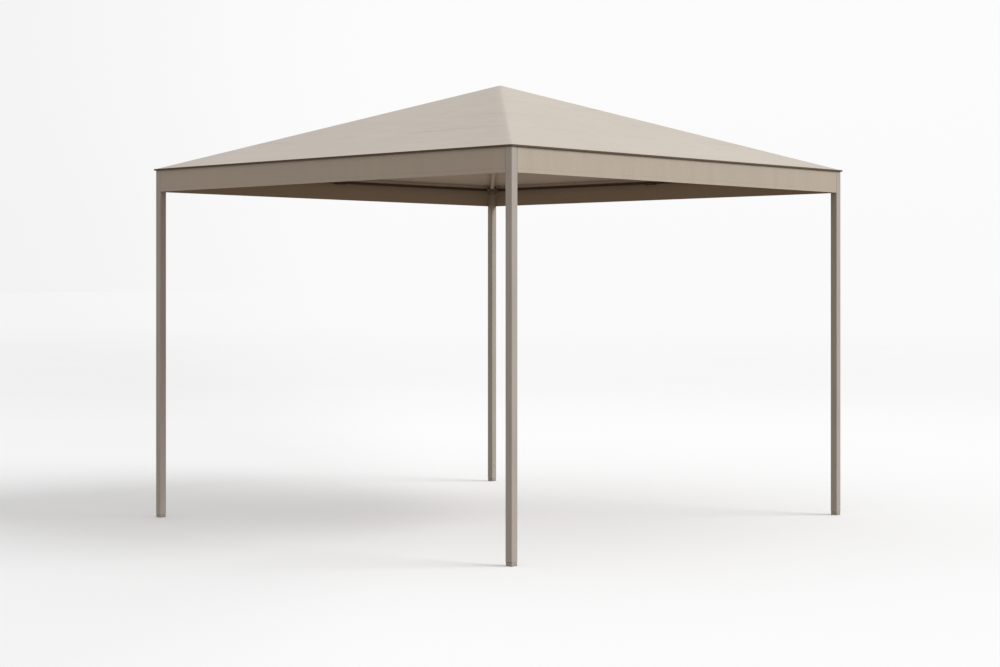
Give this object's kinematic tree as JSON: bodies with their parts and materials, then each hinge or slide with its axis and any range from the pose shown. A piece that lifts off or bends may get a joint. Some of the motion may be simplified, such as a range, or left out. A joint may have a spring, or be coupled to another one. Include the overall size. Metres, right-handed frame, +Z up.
{
  "type": "pop up gazebo",
  "caption": "Square pop up garden gazebo: taut hipped cloth canopy with a short valance on a folding metal frame with telescopic legs.",
  "frame": {"origin": "centre of the plan on the ground under the feet", "axes": "+Z up; +X to the right and +Y to the back, both parallel to the canopy's sides"},
  "size_m": [3.012, 3.012, 2.671],
  "materials": {
    "frame_paint": "satin powder coat, taupe",
    "inner_tube": "satin powder coat, taupe",
    "rail_paint": "dark brown powder coat",
    "rafter_paint": "satin powder coat, light taupe",
    "corner_moulding": "moulded, taupe",
    "moulding": "moulded, dark brown",
    "foot_plastic": "moulded, taupe",
    "button_steel": "bright",
    "roof_cloth": "coated polyester, light taupe",
    "valance_cloth": "coated polyester, taupe"
  },
  "bodies": {
    "leg_back_right": {"leg_back_right": "frame_paint", "corner_bracket_back_right": "corner_moulding"},
    "inner_leg_back_right": {"inner_leg_back_right": "inner_tube", "foot_back_right": "foot_plastic"},
    "snap_button_back_right": {"snap_button_back_right": "button_steel"},
    "inner_rafter_back_right": {"inner_rafter_back_right": "rafter_paint"},
    "outer_rafter_back_right": {"outer_rafter_back_right": "rafter_paint"},
    "leg_back_left": {"leg_back_left": "frame_paint", "corner_bracket_back_left": "corner_moulding"},
    "inner_leg_back_left": {"inner_leg_back_left": "inner_tube", "foot_back_left": "foot_plastic"},
    "snap_button_back_left": {"snap_button_back_left": "button_steel"},
    "inner_rafter_back_left": {"inner_rafter_back_left": "rafter_paint"},
    "outer_rafter_back_left": {"outer_rafter_back_left": "rafter_paint"},
    "leg_front_left": {"leg_front_left": "frame_paint", "corner_bracket_front_left": "corner_moulding"},
    "inner_leg_front_left": {"inner_leg_front_left": "inner_tube", "foot_front_left": "foot_plastic"},
    "snap_button_front_left": {"snap_button_front_left": "button_steel"},
    "inner_rafter_front_left": {"inner_rafter_front_left": "rafter_paint"},
    "outer_rafter_front_left": {"outer_rafter_front_left": "rafter_paint"},
    "leg_front_right": {"leg_front_right": "frame_paint", "corner_bracket_front_right": "corner_moulding"},
    "inner_leg_front_right": {"inner_leg_front_right": "inner_tube", "foot_front_right": "foot_plastic"},
    "snap_button_front_right": {"snap_button_front_right": "button_steel"},
    "inner_rafter_front_right": {"inner_rafter_front_right": "rafter_paint"},
    "outer_rafter_front_right": {"outer_rafter_front_right": "rafter_paint"},
    "hub": {"hub": "moulding", "crown_cap": "roof_cloth"},
    "eave_rail_back_right": {"eave_rail_back_right": "rail_paint"},
    "eave_rail_back_left": {"eave_rail_back_left": "rail_paint"},
    "rail_knuckle_back": {"rail_knuckle_back": "rail_paint"},
    "roof_upper_back": {"roof_upper_back": "roof_cloth"},
    "roof_lower_back": {"roof_lower_back": "roof_cloth"},
    "valance_back": {"valance_back": "valance_cloth"},
    "eave_rail_left_back": {"eave_rail_left_back": "rail_paint"},
    "eave_rail_left_front": {"eave_rail_left_front": "rail_paint"},
    "rail_knuckle_left": {"rail_knuckle_left": "rail_paint"},
    "roof_upper_left": {"roof_upper_left": "roof_cloth"},
    "roof_lower_left": {"roof_lower_left": "roof_cloth"},
    "valance_left": {"valance_left": "valance_cloth"},
    "eave_rail_front_left": {"eave_rail_front_left": "rail_paint"},
    "eave_rail_front_right": {"eave_rail_front_right": "rail_paint"},
    "rail_knuckle_front": {"rail_knuckle_front": "rail_paint"},
    "roof_upper_front": {"roof_upper_front": "roof_cloth"},
    "roof_lower_front": {"roof_lower_front": "roof_cloth"},
    "valance_front": {"valance_front": "valance_cloth"},
    "eave_rail_right_front": {"eave_rail_right_front": "rail_paint"},
    "eave_rail_right_back": {"eave_rail_right_back": "rail_paint"},
    "rail_knuckle_right": {"rail_knuckle_right": "rail_paint"},
    "roof_upper_right": {"roof_upper_right": "roof_cloth"},
    "roof_lower_right": {"roof_lower_right": "roof_cloth"},
    "valance_right": {"valance_right": "valance_cloth"}
  },
  "joints": [
    {"name": "frame_fold", "type": "hinge", "parent": "leg_front_right", "child": "outer_rafter_front_right", "pos_m": [1.43036, -1.43036, 2.15297], "axis": [-0.7071, -0.7071, 0], "range_deg": [0, 98.07]},
    {"name": "rafter_knuckle_front_right", "type": "hinge", "parent": "outer_rafter_front_right", "child": "inner_rafter_front_right", "pos_m": [0.73286, -0.73286, 2.39705], "axis": [0.7071, 0.7071, 0], "range_deg": [0, 168.37]},
    {"name": "hub_hinge_front_right", "type": "hinge", "parent": "inner_rafter_front_right", "child": "hub", "pos_m": [0.03535, -0.03535, 2.64113], "axis": [-0.7071, -0.7071, 0], "range_deg": [0, 70.3]},
    {"name": "hub_hinge_back_right", "type": "hinge", "parent": "hub", "child": "inner_rafter_back_right", "pos_m": [0.03535, 0.03535, 2.64113], "axis": [-0.7071, 0.7071, 0], "range_deg": [0, 70.3]},
    {"name": "rafter_knuckle_back_right", "type": "hinge", "parent": "inner_rafter_back_right", "child": "outer_rafter_back_right", "pos_m": [0.73286, 0.73286, 2.39705], "axis": [0.7071, -0.7071, 0], "range_deg": [0, 168.37]},
    {"name": "leg_hinge_back_right", "type": "hinge", "parent": "outer_rafter_back_right", "child": "leg_back_right", "pos_m": [1.43036, 1.43036, 2.15297], "axis": [-0.7071, 0.7071, 0], "range_deg": [0, 98.09]},
    {"name": "hub_hinge_back_left", "type": "hinge", "parent": "hub", "child": "inner_rafter_back_left", "pos_m": [-0.03535, 0.03535, 2.64113], "axis": [-0.7071, -0.7071, 0], "range_deg": [0, 70.3]},
    {"name": "rafter_knuckle_back_left", "type": "hinge", "parent": "inner_rafter_back_left", "child": "outer_rafter_back_left", "pos_m": [-0.73286, 0.73286, 2.39705], "axis": [0.7071, 0.7071, 0], "range_deg": [0, 168.37]},
    {"name": "leg_hinge_back_left", "type": "hinge", "parent": "outer_rafter_back_left", "child": "leg_back_left", "pos_m": [-1.43036, 1.43036, 2.15297], "axis": [-0.7071, -0.7071, 0], "range_deg": [0, 98.09]},
    {"name": "hub_hinge_front_left", "type": "hinge", "parent": "hub", "child": "inner_rafter_front_left", "pos_m": [-0.03535, -0.03535, 2.64113], "axis": [0.7071, -0.7071, 0], "range_deg": [0, 70.3]},
    {"name": "rafter_knuckle_front_left", "type": "hinge", "parent": "inner_rafter_front_left", "child": "outer_rafter_front_left", "pos_m": [-0.73286, -0.73286, 2.39705], "axis": [-0.7071, 0.7071, 0], "range_deg": [0, 168.37]},
    {"name": "leg_hinge_front_left", "type": "hinge", "parent": "outer_rafter_front_left", "child": "leg_front_left", "pos_m": [-1.43036, -1.43036, 2.15297], "axis": [0.7071, -0.7071, 0], "range_deg": [0, 98.09]},
    {"name": "leg_extension_back_right", "type": "slide", "parent": "leg_back_right", "child": "inner_leg_back_right", "axis": [0, 0, -1], "range_m": [0, 0.25]},
    {"name": "snap_button_press_back_right", "type": "slide", "parent": "leg_back_right", "child": "snap_button_back_right", "axis": [1, 0, 0], "range_m": [0, 0.0035], "stiffness_N_per_m": 400, "springref_m": -0.004},
    {"name": "leg_extension_back_left", "type": "slide", "parent": "leg_back_left", "child": "inner_leg_back_left", "axis": [0, 0, -1], "range_m": [0, 0.25]},
    {"name": "snap_button_press_back_left", "type": "slide", "parent": "leg_back_left", "child": "snap_button_back_left", "axis": [-1, 0, 0], "range_m": [0, 0.0035], "stiffness_N_per_m": 400, "springref_m": -0.004},
    {"name": "leg_extension_front_left", "type": "slide", "parent": "leg_front_left", "child": "inner_leg_front_left", "axis": [0, 0, -1], "range_m": [0, 0.25]},
    {"name": "snap_button_press_front_left", "type": "slide", "parent": "leg_front_left", "child": "snap_button_front_left", "axis": [0, -1, 0], "range_m": [0, 0.0035], "stiffness_N_per_m": 400, "springref_m": -0.004},
    {"name": "leg_extension_front_right", "type": "slide", "parent": "inner_leg_front_right", "child": "leg_front_right", "axis": [0, 0, 1], "range_m": [0, 0.25]},
    {"name": "snap_button_press_front_right", "type": "slide", "parent": "leg_front_right", "child": "snap_button_front_right", "axis": [0, -1, 0], "range_m": [0, 0.0035], "stiffness_N_per_m": 400, "springref_m": -0.004},
    {"name": "rail_hinge_back_right", "type": "hinge", "parent": "leg_back_right", "child": "eave_rail_back_right", "pos_m": [1.425, 1.4775, 2.1205], "axis": [0, -1, 0], "range_deg": [0, 84.02]},
    {"name": "rail_hinge_back_left", "type": "hinge", "parent": "leg_back_left", "child": "eave_rail_back_left", "pos_m": [-1.425, 1.4775, 2.1205], "axis": [0, 1, 0], "range_deg": [0, 84.02]},
    {"name": "rail_knuckle_hinge_back", "type": "hinge", "parent": "eave_rail_back_left", "child": "rail_knuckle_back", "pos_m": [-0.03, 1.4775, 2.1205], "axis": [0, -1, 0], "range_deg": [0, 84.02]},
    {"name": "roof_upper_fold_back", "type": "hinge", "parent": "hub", "child": "roof_upper_back", "pos_m": [0, 0.0606, 2.64979], "axis": [-1, 0, 0], "range_deg": [0, 64.03], "deforming": ["roof_upper_back"]},
    {"name": "roof_lower_fold_back", "type": "hinge", "parent": "roof_upper_back", "child": "roof_lower_back", "pos_m": [0, 0.7906, 2.39434], "axis": [1, 0, 0], "range_deg": [0, 165.28], "deforming": ["roof_lower_back"]},
    {"name": "valance_hang_back", "type": "hinge", "parent": "roof_lower_back", "child": "valance_back", "pos_m": [0, 1.5, 2.14391], "axis": [-1, 0, 0], "range_deg": [0, 101.27], "deforming": ["valance_back"]},
    {"name": "rail_hinge_left_back", "type": "hinge", "parent": "leg_back_left", "child": "eave_rail_left_back", "pos_m": [-1.4775, 1.425, 2.1205], "axis": [1, 0, 0], "range_deg": [0, 84.02]},
    {"name": "rail_hinge_left_front", "type": "hinge", "parent": "leg_front_left", "child": "eave_rail_left_front", "pos_m": [-1.4775, -1.425, 2.1205], "axis": [-1, 0, 0], "range_deg": [0, 84.02]},
    {"name": "rail_knuckle_hinge_left", "type": "hinge", "parent": "eave_rail_left_front", "child": "rail_knuckle_left", "pos_m": [-1.4775, -0.03, 2.1205], "axis": [1, 0, 0], "range_deg": [0, 84.02]},
    {"name": "roof_upper_fold_left", "type": "hinge", "parent": "hub", "child": "roof_upper_left", "pos_m": [-0.0606, 0, 2.64979], "axis": [0, -1, 0], "range_deg": [0, 64.03], "deforming": ["roof_upper_left"]},
    {"name": "roof_lower_fold_left", "type": "hinge", "parent": "roof_upper_left", "child": "roof_lower_left", "pos_m": [-0.7906, 0, 2.39434], "axis": [0, 1, 0], "range_deg": [0, 165.28], "deforming": ["roof_lower_left"]},
    {"name": "valance_hang_left", "type": "hinge", "parent": "roof_lower_left", "child": "valance_left", "pos_m": [-1.5, 0, 2.14391], "axis": [0, -1, 0], "range_deg": [0, 101.27], "deforming": ["valance_left"]},
    {"name": "rail_hinge_front_left", "type": "hinge", "parent": "leg_front_left", "child": "eave_rail_front_left", "pos_m": [-1.425, -1.4775, 2.1205], "axis": [0, 1, 0], "range_deg": [0, 84.02]},
    {"name": "rail_hinge_front_right", "type": "hinge", "parent": "leg_front_right", "child": "eave_rail_front_right", "pos_m": [1.425, -1.4775, 2.1205], "axis": [0, -1, 0], "range_deg": [0, 84.02]},
    {"name": "rail_knuckle_hinge_front", "type": "hinge", "parent": "eave_rail_front_right", "child": "rail_knuckle_front", "pos_m": [0.03, -1.4775, 2.1205], "axis": [0, 1, 0], "range_deg": [0, 84.02]},
    {"name": "roof_upper_fold_front", "type": "hinge", "parent": "hub", "child": "roof_upper_front", "pos_m": [0, -0.0606, 2.64979], "axis": [1, 0, 0], "range_deg": [0, 64.03], "deforming": ["roof_upper_front"]},
    {"name": "roof_lower_fold_front", "type": "hinge", "parent": "roof_upper_front", "child": "roof_lower_front", "pos_m": [0, -0.7906, 2.39434], "axis": [-1, 0, 0], "range_deg": [0, 165.28], "deforming": ["roof_lower_front"]},
    {"name": "valance_hang_front", "type": "hinge", "parent": "roof_lower_front", "child": "valance_front", "pos_m": [0, -1.5, 2.14391], "axis": [1, 0, 0], "range_deg": [0, 101.27], "deforming": ["valance_front"]},
    {"name": "rail_hinge_right_front", "type": "hinge", "parent": "leg_front_right", "child": "eave_rail_right_front", "pos_m": [1.4775, -1.425, 2.1205], "axis": [-1, 0, 0], "range_deg": [0, 84.02]},
    {"name": "rail_hinge_right_back", "type": "hinge", "parent": "leg_back_right", "child": "eave_rail_right_back", "pos_m": [1.4775, 1.425, 2.1205], "axis": [1, 0, 0], "range_deg": [0, 84.02]},
    {"name": "rail_knuckle_hinge_right", "type": "hinge", "parent": "eave_rail_right_back", "child": "rail_knuckle_right", "pos_m": [1.4775, 0.03, 2.1205], "axis": [-1, 0, 0], "range_deg": [0, 84.02]},
    {"name": "roof_upper_fold_right", "type": "hinge", "parent": "hub", "child": "roof_upper_right", "pos_m": [0.0606, 0, 2.64979], "axis": [0, 1, 0], "range_deg": [0, 64.03], "deforming": ["roof_upper_right"]},
    {"name": "roof_lower_fold_right", "type": "hinge", "parent": "roof_upper_right", "child": "roof_lower_right", "pos_m": [0.7906, 0, 2.39434], "axis": [0, -1, 0], "range_deg": [0, 165.28], "deforming": ["roof_lower_right"]},
    {"name": "valance_hang_right", "type": "hinge", "parent": "roof_lower_right", "child": "valance_right", "pos_m": [1.5, 0, 2.14391], "axis": [0, 1, 0], "range_deg": [0, 101.27], "deforming": ["valance_right"]}
  ],
  "couplings": [
    {"joint": "rafter_knuckle_front_right", "follows": "frame_fold", "ratio": 1.7167},
    {"joint": "hub_hinge_front_right", "follows": "frame_fold", "ratio": 0.71661},
    {"joint": "hub_hinge_back_right", "follows": "frame_fold", "ratio": 0.71661},
    {"joint": "rafter_knuckle_back_right", "follows": "frame_fold", "ratio": 1.7167},
    {"joint": "leg_hinge_back_right", "follows": "frame_fold", "ratio": 1},
    {"joint": "hub_hinge_back_left", "follows": "frame_fold", "ratio": 0.71661},
    {"joint": "rafter_knuckle_back_left", "follows": "frame_fold", "ratio": 1.7167},
    {"joint": "leg_hinge_back_left", "follows": "frame_fold", "ratio": 1},
    {"joint": "hub_hinge_front_left", "follows": "frame_fold", "ratio": 0.71661},
    {"joint": "rafter_knuckle_front_left", "follows": "frame_fold", "ratio": 1.7167},
    {"joint": "leg_hinge_front_left", "follows": "frame_fold", "ratio": 1},
    {"joint": "rail_hinge_back_right", "follows": "frame_fold", "ratio": 0.85653},
    {"joint": "rail_hinge_back_left", "follows": "frame_fold", "ratio": 0.85653},
    {"joint": "rail_knuckle_hinge_back", "follows": "frame_fold", "ratio": 0.85653},
    {"joint": "roof_upper_fold_back", "follows": "frame_fold", "ratio": 0.65274},
    {"joint": "roof_lower_fold_back", "follows": "frame_fold", "ratio": 1.6851},
    {"joint": "valance_hang_back", "follows": "frame_fold", "ratio": 1.0324},
    {"joint": "rail_hinge_left_back", "follows": "frame_fold", "ratio": 0.85653},
    {"joint": "rail_hinge_left_front", "follows": "frame_fold", "ratio": 0.85653},
    {"joint": "rail_knuckle_hinge_left", "follows": "frame_fold", "ratio": 0.85653},
    {"joint": "roof_upper_fold_left", "follows": "frame_fold", "ratio": 0.65274},
    {"joint": "roof_lower_fold_left", "follows": "frame_fold", "ratio": 1.6851},
    {"joint": "valance_hang_left", "follows": "frame_fold", "ratio": 1.0324},
    {"joint": "rail_hinge_front_left", "follows": "frame_fold", "ratio": 0.85653},
    {"joint": "rail_hinge_front_right", "follows": "frame_fold", "ratio": 0.85653},
    {"joint": "rail_knuckle_hinge_front", "follows": "frame_fold", "ratio": 0.85653},
    {"joint": "roof_upper_fold_front", "follows": "frame_fold", "ratio": 0.65274},
    {"joint": "roof_lower_fold_front", "follows": "frame_fold", "ratio": 1.6851},
    {"joint": "valance_hang_front", "follows": "frame_fold", "ratio": 1.0324},
    {"joint": "rail_hinge_right_front", "follows": "frame_fold", "ratio": 0.85653},
    {"joint": "rail_hinge_right_back", "follows": "frame_fold", "ratio": 0.85653},
    {"joint": "rail_knuckle_hinge_right", "follows": "frame_fold", "ratio": 0.85653},
    {"joint": "roof_upper_fold_right", "follows": "frame_fold", "ratio": 0.65274},
    {"joint": "roof_lower_fold_right", "follows": "frame_fold", "ratio": 1.6851},
    {"joint": "valance_hang_right", "follows": "frame_fold", "ratio": 1.0324}
  ]
}
